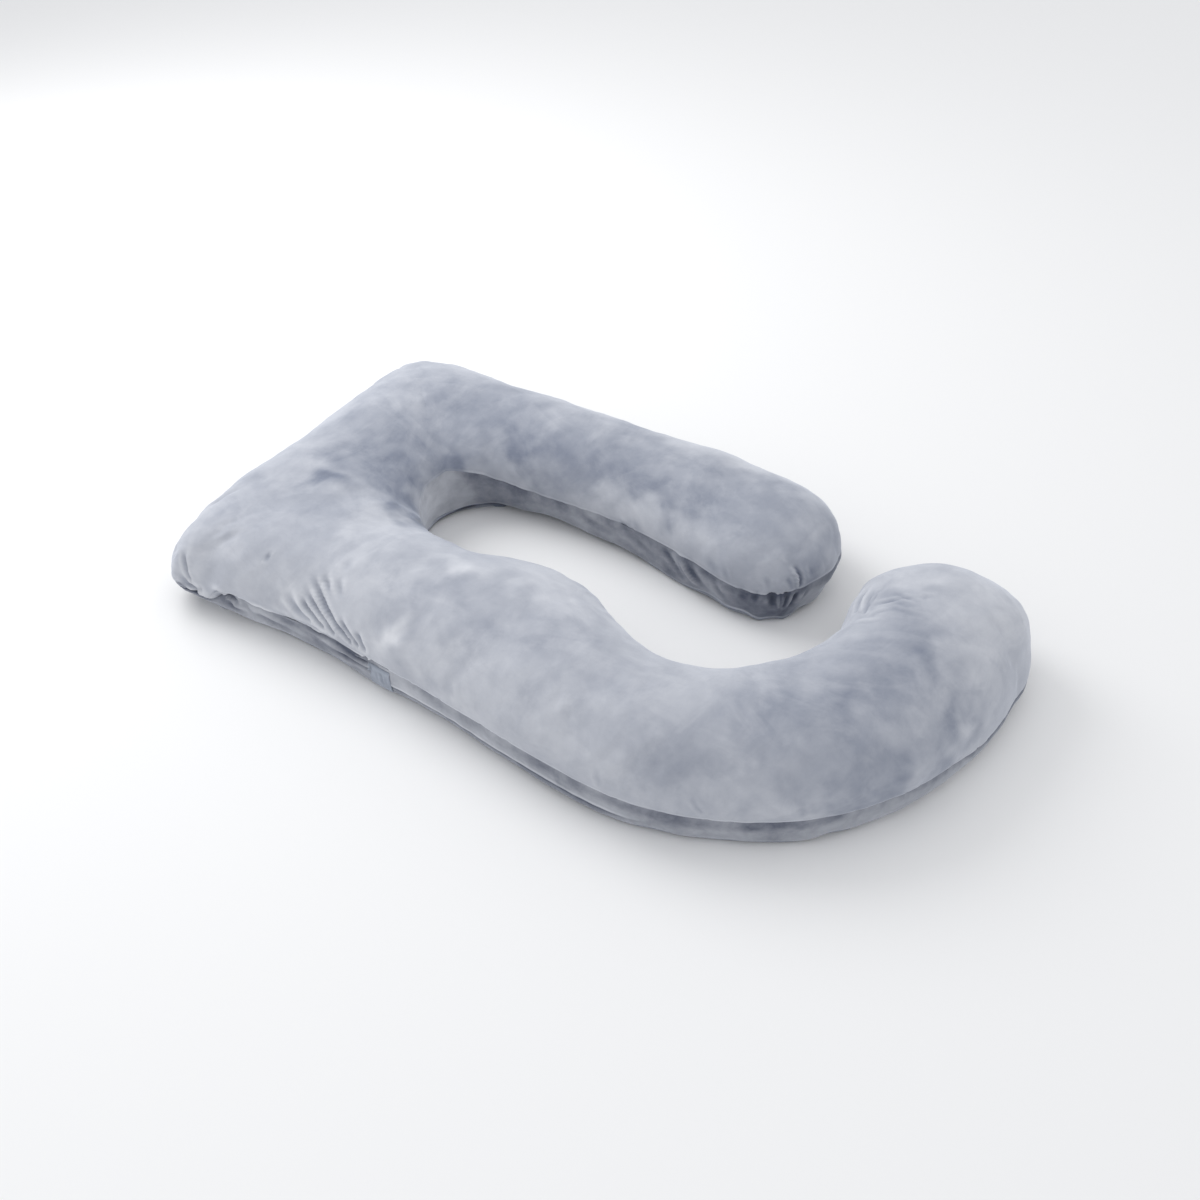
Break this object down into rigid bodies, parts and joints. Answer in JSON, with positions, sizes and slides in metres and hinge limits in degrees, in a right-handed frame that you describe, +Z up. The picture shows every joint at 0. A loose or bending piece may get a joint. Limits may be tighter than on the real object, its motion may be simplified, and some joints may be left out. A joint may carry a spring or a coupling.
{
  "type": "body pillow",
  "caption": "Full-body pillow with a broad head end, a short straight arm, a long hooked arm and a boxing band with a hidden zip.",
  "frame": {"origin": "middle of the footprint, on the surface that the pillow lies on", "axes": "+X from the head end to the hook, +Y towards the short arm, +Z up"},
  "size_m": [1.387, 0.787, 0.18],
  "materials": {
    "velvet": "short crushed velvet pile, blue-grey, soft sheen",
    "band_velvet": "the same velvet on the boxing band, seen darker",
    "tab_velvet": "doubled dark velvet tab, stitched flat"
  },
  "bodies": {
    "root": {"pillow_body": "velvet", "side_band": "band_velvet", "zip_band_upper": "band_velvet", "zip_band_lower": "band_velvet", "zip_tab": "tab_velvet"}
  },
  "joints": []
}
